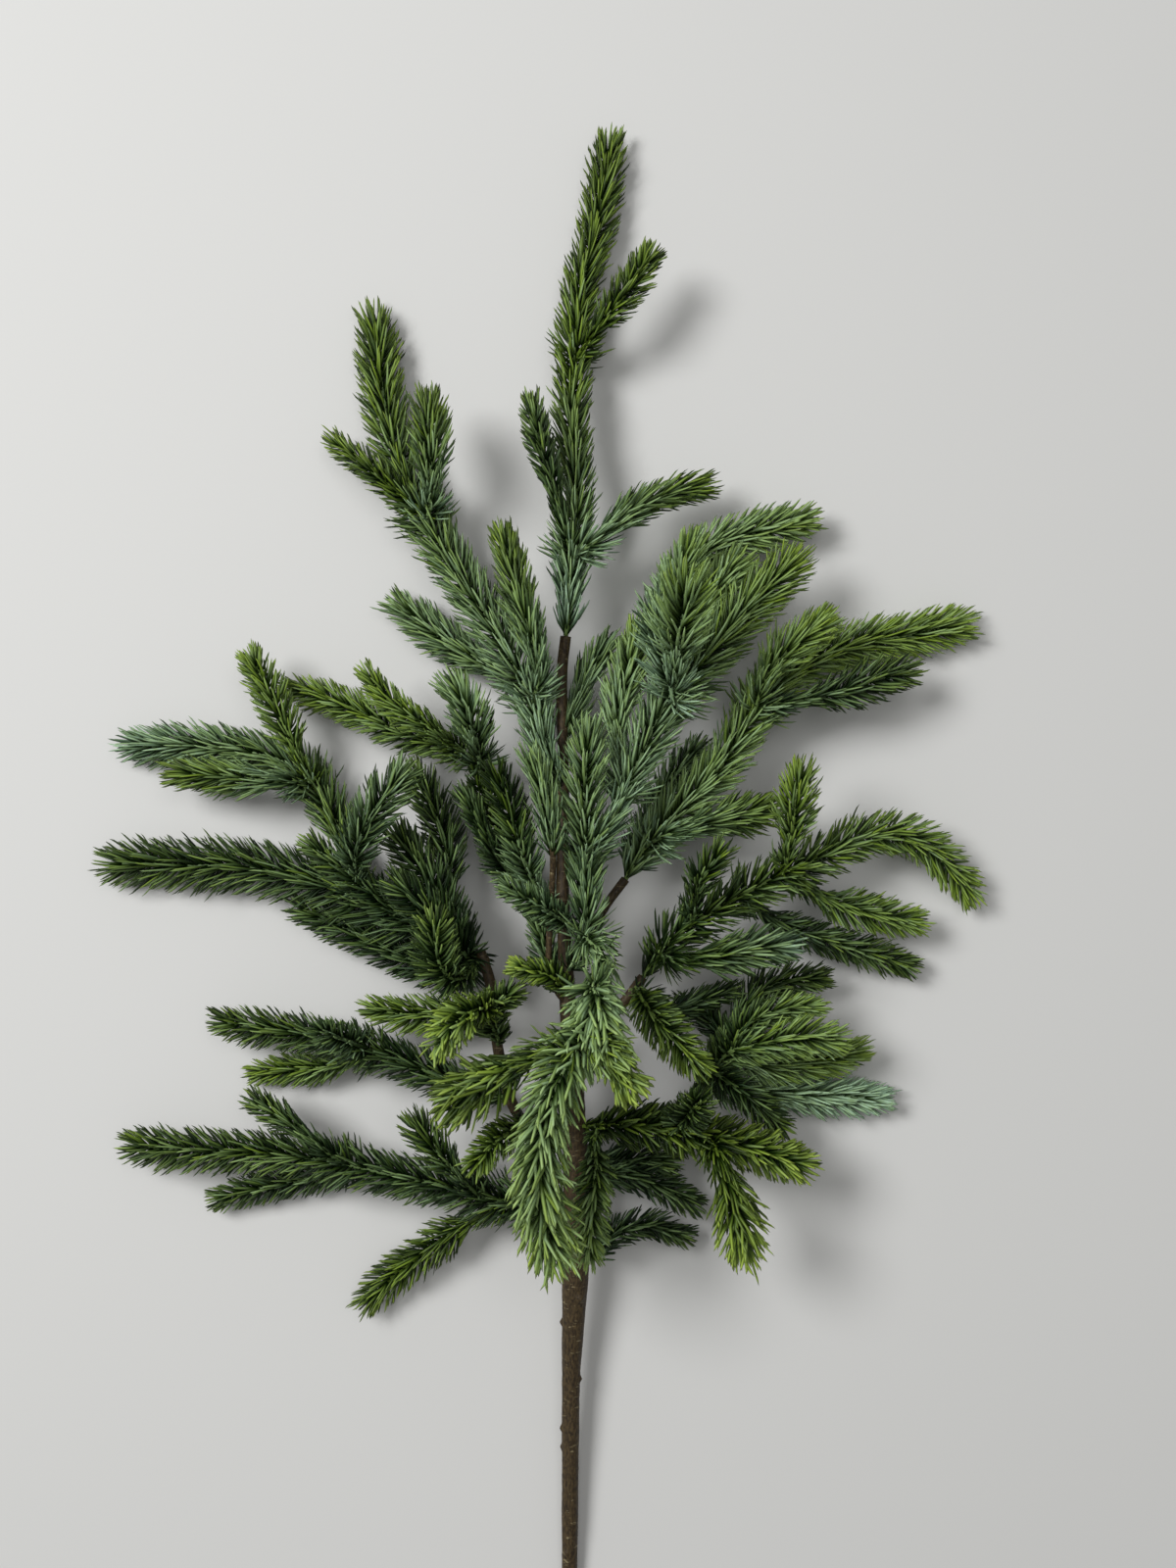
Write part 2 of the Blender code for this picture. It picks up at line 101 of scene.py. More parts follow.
# Every shoot that isn't listed here is olive.
SHOOT_TINTS = {
    "blue_tip": ("right_low_blue",),
    "blue_half": ("upper_left_leader", "upper_left_inner", "upper_left_near", "top_right_shoot",
                  "right_inner", "far_left_low"),
    "blue_end": ("far_left_leader",),
    "blue_fade": ("upper_right_leader",),
    "blue_last": ("mid_right_blue",),
    "blue_foot": ("top_leader",),
    "blue_dark": ("inner_left_leader", "inner_left_broad"),
    "blue_shade": ("left_blue",),
    "teal": ("centre_leader", "centre_left_shoot", "centre_low_shoot", "upper_left_low",
             "inner_left_crown"),
    "pale_blue": ("upper_right_crown", "upper_right_outer", "upper_right_inner"),
    "pale": ("right_upper", "right_leader"),
    "pale_tip": ("mid_right_side", "mid_right_leader"),
    "warm": ("lower_left_down", "top_upper_shoot"),
    "deep": ("left_leader", "left_dark", "left_low_leader", "lower_left_leader", "lower_left_near",
             "lower_left_upper", "mid_right_near", "mid_right_low", "right_low_upper", "right_lower",
             "top_left_shoot"),
    "dark": ("inner_left_low",),
    "dark_half": ("front_dark", "right_low_leader"),
    "tipped": ("left_crown",),
    "lime": ("front_leader",),
    "moss": ("front_left",),
    "lime_tip": ("left_hanging",),
    "dark_lime": ("lower_right_leader",),
    "yellow": ("front_right",),
    "yellow_tip": ("lower_right_hanging",),
}

# Three habits of needle: how long it is, how far apart the needles stand in a row, and the widest lean.
# Most blue, pale and fresh shoots are feathery, the tufts have short needles that stand out square, and the
# rest are combed along the twig.
FEATHERY, COMBED, TUFTED = (18.0, 3.3, 0.72), (12.5, 3.4, 0.85), (9.0, 2.6, 1.15)
FEATHERY_TINTS = ("blue", "blue_tip", "blue_half", "blue_end", "blue_fade", "blue_last", "blue_foot",
                  "teal", "pale_blue", "pale", "lime", "moss", "yellow", "yellow_tip")
TUFTS = ("left_crown", "left_hanging", "front_dark", "stub_left", "stem_fresh", "left_stem_tuft",
         "left_stem_low", "lower_right_crown", "left_low_tuft", "right_low_near",
         "lower_right_leader")

# These start narrow, with short needles: the share of their reach at the foot, and the distance over which
# they would widen from nothing to their full reach.
NARROW_FEET = {"front_leader": (0.42, 90.0), "centre_leader": (0.5, 60.0)}

# Twigs too small for a solid of their own: what they fork from, the reach of their needles, their tint and
# their route on the plan, as (x, y, height).
SMALL_TWIGS = {
    "upper_left_outer": ("upper_left_leader", 7.5, "warm", [
        (-84, 139, 24), (-100, 151, 27), (-114, 163, 24), (-125, 171, 20), (-135, 182, 16)]),
    "upper_right_blue": ("upper_right_leader", 12.0, "blue", [
        (43, 44, 60), (39, 64, 70), (35, 84, 76), (30, 103, 78)]),
    "upper_right_tuft": ("upper_right_outer", 10.0, "pale_blue", [
        (44, 94, 30), (48, 108, 42), (54, 122, 47), (59, 134, 45)]),
    "upper_right_fill": ("upper_right_leader", 12.0, "pale_blue", [
        (47, 52, 46), (52, 70, 42), (60, 90, 38), (71, 107, 35), (87, 119, 32)]),
    "stub_left": ("main_stem", 8.5, "blue_shade", [
        (-12, -70, 52), (-25, -62, 62), (-38, -55, 64), (-49, -49, 60)]),
    "stem_dark": ("main_stem", 9.0, "blue_shade", [
        (-19, -95, 26), (-22, -82, 24), (-26, -70, 22), (-32, -60, 20)]),
    "right_under": ("right_leader", 9.5, "blue_shade", [
        (30, -23, 22), (40, -2, 17), (51, 13, 15), (62, 27, 14)]),
    "low_right_first": ("main_stem", 8.5, "dark", [
        (2, -240, 24), (15, -229, 20), (30, -225, 16), (45, -229, 13), (59, -233, 11)]),
    "low_right_second": ("main_stem", 10.0, "dark", [
        (16, -199, 26), (28, -201, 26), (43, -208, 22), (61, -219, 17)]),
    "low_right_third": ("main_stem", 10.5, "dark", [
        (0, -195, 24), (25, -192, 24), (50, -194, 24)]),
    "right_low_inner": ("right_low_leader", 8.5, "dark_half", [
        (72, -138, 36), (79, -125, 42), (92, -117, 42), (107, -114, 38), (126, -114, 34)]),
    "right_low_back": ("right_low_leader", 8.5, "dark", [
        (70, -130, 22), (59, -117, 18), (38, -110, 14)]),
    "stem_fresh": ("main_stem", 8.0, "dark_lime", [
        (-11, -104, 44), (-19, -98, 50), (-30, -95, 51), (-45, -92, 48)]),
    "front_right_upper": ("front_leader", 10.5, "lime", [
        (3, -104, 92), (7, -121, 99), (13, -137, 99), (19, -151, 92)]),
    "left_stem_tuft": ("left_stem", 10.5, "tipped", [
        (-46, -130, 44), (-50, -119, 54), (-44, -110, 62), (-31, -103, 66)]),
    "left_stem_low": ("left_stem", 10.0, "olive", [
        (-35, -174, 50), (-46, -182, 62), (-55, -191, 70), (-64, -201, 74)]),
    "left_upper_fill": ("left_leader", 12.0, "dark", [
        (-62, -88, 44), (-74, -72, 52), (-90, -58, 54), (-106, -46, 50)]),
    "left_under_fill": ("left_leader", 11.0, "dark", [
        (-64, -98, 28), (-88, -91, 24), (-115, -78, 19), (-138, -67, 15), (-156, -61, 13)]),
    "left_inner_fill": ("left_leader", 12.5, "dark", [
        (-62, -90, 36), (-71, -68, 36), (-81, -49, 34), (-92, -33, 32), (-102, -19, 30)]),
    "left_upper_side": ("left_leader", 9.5, "deep", [
        (-112, -54, 36), (-127, -42, 38), (-139, -33, 37), (-150, -26, 34)]),
    "mid_right_fill": ("right_low_near", 7.5, "dark", [
        (42, -117, 34), (54, -112, 29), (68, -107, 25), (82, -103, 21)]),
    "left_low_tuft": ("left_low_leader", 9.5, "blue_shade", [
        (-120, -132, 36), (-131, -128, 48), (-145, -123, 58)]),
    "right_low_down": ("right_low_leader", 9.5, "deep", [
        (64, -147, 34), (80, -158, 42), (91, -168, 38), (105, -181, 30)]),
    "right_low_fourth": ("right_low_leader", 9.5, "pale", [
        (70, -139, 33), (95, -144, 24), (122, -140, 22), (149, -133, 18)]),
    "lower_right_crown": ("lower_right_leader", 11.5, "deep", [
        (47, -174, 50), (51, -169, 68), (55, -164, 82), (60, -156, 92)]),
    "lower_left_low": ("lower_left_leader", 9.0, "deep", [
        (-119, -195, 31), (-135, -200, 14), (-155, -204, 11), (-175, -208, 10), (-199, -214, 10)]),
}

STEMS = ("main_stem", "right_stem", "mid_right_stem", "left_stem")

# Small nubs in the bark, where leaves once grew: how far along the stem, and the angle round it.
NUBS = ((28.0, 2.0), (84.0, 3.3), (95.0, 2.9), (122.0, 0.3), (152.0, 3.1), (168.0, 1.1), (183.0, 2.7),
        (205.0, 0.0))
NUB_HEIGHT = 0.24        # as a share of the stem's radius
NUB_LENGTH = 1.5         # how far along the stem a nub spreads from its middle
NUB_SPREAD = 0.28        # and how far round the stem, in radians

# ------------------------------ lines

LINE_STEP = 1.0          # a line's points stand this far apart, so a point's number is its distance along
FINE_STEPS = 20          # a curve is worked out at this many places between two knots
FEWEST_POINTS = 4
NEARLY_UPRIGHT = np.array((0.002, 0.001, 1.0))      # a little off, so that an upright line has a normal


def unit(vectors):
    """Vectors divided by their lengths. A vector of no length stays as it is."""
    return vectors / np.maximum(np.linalg.norm(vectors, axis=-1, keepdims=True), 1e-9)


def line_run(line):
    """The distance along a line at each of its points."""
    return np.concatenate(([0.0], np.cumsum(np.linalg.norm(np.diff(line, axis=0), axis=1))))


def read_line(line, run, at):
    """The points of a line at the given distances along it."""
    return np.column_stack([np.interp(at, run, line[:, i]) for i in range(3)])


def smooth_line(knots):
    """A Catmull-Rom curve through the knots, read off at even distances of about LINE_STEP.

    Between knots b and c, with a before and d after them, it is half of
    2b + (c - a) t + (2a - 5b + 4c - d) t^2 + (3b - a - 3c + d) t^3.
    """
    padded = np.vstack((2 * knots[0] - knots[1], knots, 2 * knots[-1] - knots[-2]))
    t = np.linspace(0.0, 1.0, FINE_STEPS, endpoint=False)[None, :, None]
    a, b, c, d = (padded[i:len(padded) - 3 + i, None, :] for i in range(4))
    fine = 0.5 * (2 * b + (c - a) * t + (2 * a - 5 * b + 4 * c - d) * t**2 + (3 * b - a - 3 * c + d) * t**3)
    fine = np.vstack((fine.reshape(-1, 3), knots[-1:]))
    run = line_run(fine)
    at = np.linspace(0.0, run[-1], max(int(round(run[-1] / LINE_STEP)) + 1, FEWEST_POINTS))
    return read_line(fine, run, at)


def line_frames(line):
    """At each point of a line, its tangent T, the direction N nearest to upright that is square to T, and
    the level direction S = T x N across both."""
    tangents = unit(np.gradient(line, axis=0))
    normals = unit(NEARLY_UPRIGHT - tangents * (tangents @ NEARLY_UPRIGHT)[:, None])
    return tangents, normals, np.cross(tangents, normals)


def envelope_rings(node):
    """The middle points and radii of a node's rings, with its two poles as the first and last point.

    The loose triangles' corners are merged where they agree to a hundredth of a millimetre. A pole is one of
    the two corners where the most edges meet, and a ring is every corner that is equally many edges away
    from the first pole. The line starts at the blunter end, whose pole is nearer to its ring.
    """
    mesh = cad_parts[node].data
    mesh.calc_loop_triangles()
    points = np.empty(len(mesh.vertices) * 3, np.float32)
    mesh.vertices.foreach_get("co", points)
    faces = np.empty(len(mesh.loop_triangles) * 3, np.int32)
    mesh.loop_triangles.foreach_get("vertices", faces)
    rounded, index = np.unique(np.round(points.reshape(-1, 3) / MM, 2), axis=0, return_inverse=True)
    faces = index.reshape(-1)[faces].reshape(-1, 3)
    edges = np.unique(np.sort(np.vstack((faces[:, :2], faces[:, 1:], faces[:, ::2])), axis=1), axis=0)
    poles = np.argsort(np.bincount(edges.ravel()))[-2:]
    level = np.full(len(rounded), -1)
    level[poles[0]] = 0
    while (level < 0).any():
        near = level[edges]
        reached = np.concatenate((edges[near[:, 0] >= 0, 1], edges[near[:, 1] >= 0, 0]))
        level[reached[level[reached] < 0]] = level.max() + 1
    rings = [rounded[level == k] for k in range(level.max() + 1)]
    centres = np.array([ring.mean(axis=0) for ring in rings])
    radii = np.array([np.linalg.norm(ring - c, axis=1).mean() for ring, c in zip(rings, centres)])
    if np.linalg.norm(centres[0] - centres[1]) > np.linalg.norm(centres[-1] - centres[-2]):
        centres, radii = centres[::-1], radii[::-1]
    return centres, radii


def plan_scale(height):
    """How much a plan is drawn in at a height, as seen from the eye."""
    return 1.0 - (height - STEM_HEIGHT) / EYE_ABOVE_STEM


def plan_origin():
    """Where the plan's origin lies, found from the stem's cut end."""
    centres, _ = envelope_rings("main_stem")
    foot = centres[int(np.argmin(centres[:, 1]))]
    return foot[:2] - np.array(CUT_END_ON_PLAN[:2]) * plan_scale(CUT_END_ON_PLAN[2])


def from_plan(points, origin):
    """Plan points (x, y, height) as places in space."""
    points = np.array(points, float)
    return np.hstack((points[:, :2] * plan_scale(points[:, 2:]) + origin, points[:, 2:]))


# ------------------------------ surfaces
# A surface is a dictionary of arrays: points, corners (vertex numbers, face after face), sizes (corners in
# each face), uv (one for each corner), and the VALUES for each point that the material reads: the share of
# the needle's length, which also sets its painted root shade, how light it is (its dye, with painted light
# on top, painted shade underneath and on low or covered shoots), and how much dust and fresh colour it has.

VALUES = ("along", "tone", "frost", "fresh")
POLE_BULGE = 0.12        # a tube's poles stand out by this share of its radius there
WHOLE_UV = (0.0, 0.0, 1.0, 1.0)


def join_surfaces(surfaces):
    """One surface from several, with their vertex numbers moved on."""
    moved = np.cumsum([0] + [len(s["points"]) for s in surfaces[:-1]])
    joined = {key: np.concatenate([s[key] for s in surfaces]) for key in surfaces[0] if key != "corners"}
    joined["corners"] = np.concatenate([s["corners"] + m for s, m in zip(surfaces, moved)])
    return joined


def grid_tube(rings, sides):
    """Corners, sizes and UVs of a closed tube: rings of equally many points, point after point, and then a
    pole for each end. UV u goes round the tube and v along it."""
    low, here = np.meshgrid(np.arange(rings - 1), np.arange(sides), indexing="ij")
    low, here = low.ravel(), here.ravel()
    after = (here + 1) % sides
    quads = np.column_stack((low * sides + here, low * sides + after,
                             (low + 1) * sides + after, (low + 1) * sides + here))
    j = np.arange(sides)
    last = (rings - 1) * sides
    start = np.column_stack((np.full(sides, rings * sides), (j + 1) % sides, j))
    end = np.column_stack((last + j, last + (j + 1) % sides, np.full(sides, rings * sides + 1)))
    step_u, step_v = 1.0 / sides, 1.0 / (rings + 1)
    u, v = here / sides, (low + 1.0) / (rings + 1)
    quad_uv = ((u, v), (u + step_u, v), (u + step_u, v + step_v), (u, v + step_v))
    u = j / sides
    start_uv = ((u + step_u / 2, 0.0), (u + step_u, step_v), (u, step_v))
    end_uv = ((u, 1.0 - step_v), (u + step_u, 1.0 - step_v), (u + step_u / 2, 1.0))
    uv = np.concatenate([np.stack([np.column_stack(np.broadcast_arrays(*pair)) for pair in face], axis=1)
                         .reshape(-1, 2) for face in (quad_uv, start_uv, end_uv)])
    corners = np.concatenate((quads.ravel(), start.ravel(), end.ravel()))
    sizes = np.concatenate((np.full(len(quads), 4), np.full(2 * sides, 3)))
    return corners, sizes, uv


def tube_surface(line, radii, sides, uv_box=WHOLE_UV, relief=1.0):
    """A round tube: point (i, j) is line[i] + radii[i] * relief[i, j] * (cos a S + sin a N), where a is
    j / sides of a turn. Each end closes in a pole."""
    tangents, normals, level = line_frames(line)
    angle = 2.0 * np.pi * np.arange(sides) / sides
    ring = (np.cos(angle)[None, :, None] * level[:, None, :]
            + np.sin(angle)[None, :, None] * normals[:, None, :])
    reach = radii[:, None] * relief * np.ones((len(line), sides))
    wall = line[:, None, :] + ring * reach[:, :, None]
    poles = np.vstack((line[0] - tangents[0] * radii[0] * POLE_BULGE,
                       line[-1] + tangents[-1] * radii[-1] * POLE_BULGE))
    corners, sizes, uv = grid_tube(len(line), sides)
    low_corner, high_corner = np.array(uv_box[:2]), np.array(uv_box[2:])
    surface = {
        "points": np.vstack((wall.reshape(-1, 3), poles)),
        "corners": corners,
        "sizes": sizes,
        "uv": low_corner + uv * (high_corner - low_corner),
        "along": np.concatenate((np.repeat(np.linspace(0.0, 1.0, len(line)), sides), (0.0, 1.0))),
    }
    surface.update({key: np.zeros(len(surface["points"])) for key in VALUES[1:]})
    return surface


# A needle is four-sided, like a spruce's. Its rings stand at these shares of its length, and have these
# shares of its full width.
NEEDLE_WIDTH, NEEDLE_THICKNESS = 1.15, 0.85
NEEDLE_SIDES = 4
STATIONS = np.array((0.0, 0.42, 0.88))
WIDTHS = np.array((0.75, 1.0, 0.6))
NEEDLE_POINTS = NEEDLE_SIDES * len(STATIONS) + 2
ROOT_SINK = 0.02         # its root's pole stands back from the first ring, as a share of its length

# How a needle curves. The bend and the roll are in radians, and the sweep and the wave shares of its length.
BEND = (0.04, 0.36)      # it bends forward by twice this from its foot to its tip
LOOSE_BEND = 0.4         # the share of its bend that grows with its looseness
SWEEP = 0.11             # how far its tip strays to a side
WAVE = 0.07              # how far a loose needle waves
ROLL = 0.4               # how far it is rolled about its own length
BLUNTING = 0.5           # how far a loose needle's ends widen towards its full width

# The needles share the lower part of the piece's UV square, each in a cell with a margin, and the twig has
# the strip above them.
NEEDLE_UV_TOP = 0.96
CELL_MARGIN = 0.06
TWIG_UV = (0.0, 0.965, 1.0, 1.0)


def needle_middles(roots, tangents, outward, lean, lengths, loose, rng):
    """The middle lines of needles, at the STATIONS and then at the two poles.

    A needle starts at its root. Its direction turns in the plane of the twig's tangent T and the outward
    direction D, from lean + bend at the foot to lean - bend at the tip, so its middle line is
    root + L * integral of (cos w T + sin w D), with a sideways sweep of t^2, and a sideways wave of
    sin(2 pi t + phase) - sin(phase) in the loose ones.
    """
    count = len(roots)
    bend = rng.uniform(*BEND, count)[:, None] * (1.0 - LOOSE_BEND + LOOSE_BEND * loose)
    sweep = rng.normal(0.0, SWEEP * loose, count)[:, None]
    phase = rng.uniform(0.0, 2.0 * np.pi, count)[:, None]
    t = np.concatenate((STATIONS, (-ROOT_SINK, 1.0)))[None, :]
    angle0, turn = lean[:, None] + bend, -2.0 * bend
    angle = angle0 + turn * t
    forward = (np.sin(angle) - np.sin(angle0)) / turn
    away = -(np.cos(angle) - np.cos(angle0)) / turn
    wave = WAVE * max(loose - 1.0, 0.0) * (np.sin(2.0 * np.pi * t + phase) - np.sin(phase))
    aside = sweep * t**2 + wave
    length = lengths[:, None]
    middle = (roots[:, None, :] + tangents[:, None, :] * (length * forward)[:, :, None]
              + outward[:, None, :] * (length * away)[:, :, None]
              + np.cross(tangents, outward)[:, None, :] * (length * aside)[:, :, None])
    middle[:, :, 2] = np.maximum(middle[:, :, 2], FLOOR_CLEARANCE)
    return middle


def needle_surfaces(roots, tangents, normals, outward, lean, lengths, widths, loose, values, rng):
    """Needles as one surface: an oval section carried along each middle line.

    Corner j of a ring is its middle + half the width * cos a W + half the thickness * sin a (W x H), where H
    is the needle's heading, W is square to it and lies level across the twig, rolled a little by chance, and
    a is j / NEEDLE_SIDES of a turn. A loose needle is blunter at its ends.
    """
    count, rings = len(roots), len(STATIONS)
    middle = needle_middles(roots, tangents, outward, lean, lengths, loose, rng)
    in_order = middle[:, [rings, *range(rings), rings + 1]]
    heading = unit(np.gradient(in_order, axis=1))[:, 1:-1]
    level = unit(np.cross(heading, np.broadcast_to(normals[:, None, :], heading.shape)))
    upright = np.cross(level, heading)
    roll = rng.normal(0.0, ROLL, count)[:, None, None]
    wide = level * np.cos(roll) + upright * np.sin(roll)
    deep = np.cross(wide, heading)
    blunt = BLUNTING * min(max(loose - 1.0, 0.0), 1.0)
    half_width = 0.5 * widths[:, None, None] * (WIDTHS + (1.0 - WIDTHS) * blunt)[None, :, None]
    half_depth = half_width * (NEEDLE_THICKNESS / NEEDLE_WIDTH)
    corner = 2.0 * np.pi * np.arange(NEEDLE_SIDES)[None, None, :, None] / NEEDLE_SIDES
    walls = (middle[:, :rings, None, :] + (wide * half_width)[:, :, None, :] * np.cos(corner)
             + (deep * half_depth)[:, :, None, :] * np.sin(corner)).reshape(count, -1, 3)
    points = np.concatenate((walls, middle[:, rings:]), axis=1)
    corners, sizes, uv = grid_tube(rings, NEEDLE_SIDES)
    columns = int(np.ceil(np.sqrt(count)))
    cell = np.column_stack((np.arange(count) % columns, np.arange(count) // columns)).astype(float)
    placed_uv = (cell[:, None, :] + CELL_MARGIN + (1.0 - 2.0 * CELL_MARGIN) * uv[None, :, :]) / columns
    surface = {
        "points": points.reshape(-1, 3),
        "corners": (corners[None, :] + NEEDLE_POINTS * np.arange(count)[:, None]).ravel(),
        "sizes": np.tile(sizes, count),
        "uv": (placed_uv * np.array((1.0, NEEDLE_UV_TOP))).reshape(-1, 2),
        "along": np.tile(np.concatenate((np.repeat(STATIONS, NEEDLE_SIDES), (0.0, 1.0))), count),
    }
    for key in VALUES[1:]:
        surface[key] = np.repeat(values[key], NEEDLE_POINTS)
    return surface


def add_piece(name, surface, material, replaces=()):
    """Puts a surface into the scene as a mesh that rides on the branch's one body. A corner below LOWEST is
    moved up to it."""
    points = surface["points"].copy()
    points[:, 2] = np.maximum(points[:, 2], LOWEST)
    mesh = bpy.data.meshes.new(name)
    mesh.vertices.add(len(points))
    mesh.vertices.foreach_set("co", (points * MM).astype(np.float32).ravel())
    mesh.loops.add(len(surface["corners"]))
    mesh.loops.foreach_set("vertex_index", surface["corners"].astype(np.int32))
    mesh.polygons.add(len(surface["sizes"]))
    starts = np.concatenate(((0,), np.cumsum(surface["sizes"])[:-1])).astype(np.int32)
    mesh.polygons.foreach_set("loop_start", starts)
    mesh.update(calc_edges=True)
    for key in VALUES:
        mesh.attributes.new(key, "FLOAT", "POINT").data.foreach_set("value", surface[key].astype(np.float32))
    mesh.uv_layers.new(name="OFBake").data.foreach_set("uv", surface["uv"].astype(np.float32).ravel())
    mesh.shade_smooth()
    mesh.materials.append(material)
    piece = bpy.data.objects.new(name, mesh)
    bpy.context.scene.collection.objects.link(piece)
    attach(piece, BODY)
    if replaces:
        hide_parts(*replaces)


# ------------------------------ where a shoot forks

# A fork is judged by how far off to a side of the shoot's direction it lies. To that is added:
FAR_COUNTS = 0.3         # this much for each millimetre that it is away
AHEAD_COUNTS = 100.0     # and this much if it lies ahead of the shoot's start
HEADING_POINTS = 4       # a shoot's first direction is read over this many of its points
FEWEST_ROOT_POINTS = 3


def parent_of(name, start, lines):
    """The name of the other line whose tube's surface is nearest to a point."""
    clear = {other: (np.linalg.norm(line - start, axis=1) - radii).min()
             for other, (line, radii) in lines.items() if other != name}
    return min(clear, key=clear.get)


def root_line(line, parent_line):
    """The curve from the parent's middle line to the start of this one, so that the twig grows out of it.

    It leaves the parent at the point that lies nearest to the shoot's own direction, followed backwards, and
    not far off. It is the Hermite curve (2t^3 - 3t^2 + 1) fork + (t^3 - 2t^2 + t) leave
    + (3t^2 - 2t^3) start + (t^3 - t^2) arrive, which leaves halfway between the parent's direction and the
    shoot's and arrives in the shoot's.
    """
    start, heading = line[0], unit(line[HEADING_POINTS] - line[0])
    offset = start - parent_line
    ahead = offset @ heading
    miss = np.linalg.norm(offset - ahead[:, None] * heading, axis=1)
    far = np.linalg.norm(offset, axis=1)
    at = int(np.argmin(miss + FAR_COUNTS * far + np.where(ahead < 0.0, AHEAD_COUNTS, 0.0)))
    fork, length = parent_line[at], far[at]
    onward = unit(np.gradient(parent_line, axis=0)[at])
    onward = onward * (1.0 if onward @ heading >= 0.0 else -1.0)
    t = np.linspace(0.0, 1.0, max(int(length), FEWEST_ROOT_POINTS), endpoint=False)[:, None]
    leave = unit(onward + heading) * length
    arrive = heading * length
    curve = ((2 * t**3 - 3 * t**2 + 1) * fork + (t**3 - 2 * t**2 + t) * leave
             + (3 * t**2 - 2 * t**3) * start + (t**3 - t**2) * arrive)
    return curve, at


# ------------------------------ shoots
# A needle's turn is its angle round the twig, and its lean is its angle from the twig's direction. Both are
# in radians.

# Where the needles stand.
NEEDLE_ROWS = 13
END_NEEDLES = 10         # this many more stand round the twig's very end
PARTING = 0.4            # how far a row is turned from the top or the underside towards the sides
TURN_SCATTER = 0.16
PLACE_SCATTER = 0.8
TIP_SETBACK = 3.0        # the needles' tips stop this far short of the envelope's end
FOLDED = 0.85            # the last needles reach this share of their length past the twig's end
SHORTEST_TWIG = 2.0

# What changes a needle near the tip, near the base and past a joint, and how far from there it is felt.
TIP_ZONE, BASE_ZONE = 18.0, 7.0
WHORL_ZONE, WHORL_START = 6.0, 3.0      # a whorl begins a little before its joint
TIP_SHORTER, BASE_SHORTER = 0.15, 0.1
TIP_FOLDS = 0.45         # the share of its lean that a needle loses at the tip
WHORL_LEAN = (0.7, 1.3)
END_LEAN = (0.05, 0.45)

# How long a needle is and how far it leans.
REACH = 1.05             # needle tips stand this many times as far out as the envelope
FLATTENED = 0.3          # the top and bottom rows reach less by this share
LENGTH_SCATTER = WIDTH_SCATTER = 0.1
LEAN_SCATTER = 0.1
FOOT_REACH = 1.0         # a needle's foot stands this far out already
LEAST_SINE = 0.15        # the least reach of a needle, as a share of its length
LEAN_MARGIN = 0.13       # a needle may lean this much past its habit's widest
WIDEST_LEAN = 1.25
LEAN_RANGE = (0.06, 1.35)
PLUMP_FROM, PLUMP_FULL = 5.0, 10.0      # needles grow plumper between these two reaches

# How a needle is coloured.
FRESH_FALLS = 2.5        # how steeply the fresh colour falls off from the tip
PAINTED_TOP_LIGHT = 0.28       # painted light and shade: the needles on top are lighter than the middle by this, and those below darker
TONE_SCATTER = 0.33
TONE_SHIFT = -0.1
DUST_SCATTER = 0.1

TWIG_RADIUS = 1.3
TWIG_TAPER = 0.4         # the share of its radius that a twig loses from its root to its tip
TWIG_SIDES = 6
TWIG_LEAD = 60.0         # a twig starts at most this far before its first needles
ROOT_DEPTH = 0.6         # a needle's root stands out from the twig's middle by this share of its radius
TWIG_TONE = 0.25         # a twig is lighter than its needles' mean tone by this
TWIG_ALONG = 0.5         # and coloured as the middle of a needle is, with the painted root shade it has there


def needle_places(line, run, bare, twig_end, pitch, rng):
    """How far along the line each needle stands, and its turn round it.

    Row k stands at angle a = (k + 1/2) / NEEDLE_ROWS of a turn, moved by -PARTING sin 2a towards the sides,
    so that the needles part along the top. Every second row is half a pitch on.
    """
    ranks = np.arange(max(int(np.ceil((twig_end - bare) / pitch)), 1))
    rank, row = (grid.ravel() for grid in np.meshgrid(ranks, np.arange(NEEDLE_ROWS), indexing="ij"))
    at = bare + pitch * (rank + 0.5 * (row % 2)) + rng.normal(0.0, PLACE_SCATTER, len(row))
    row = np.concatenate((row, np.arange(END_NEEDLES) * NEEDLE_ROWS / END_NEEDLES))
    at = np.clip(np.concatenate((at, np.full(END_NEEDLES, twig_end))), bare, twig_end)
    turn = 2.0 * np.pi * (row + 0.5) / NEEDLE_ROWS + rng.normal(0.0, TURN_SCATTER, len(at))
    return at, turn - PARTING * np.sin(2.0 * turn)


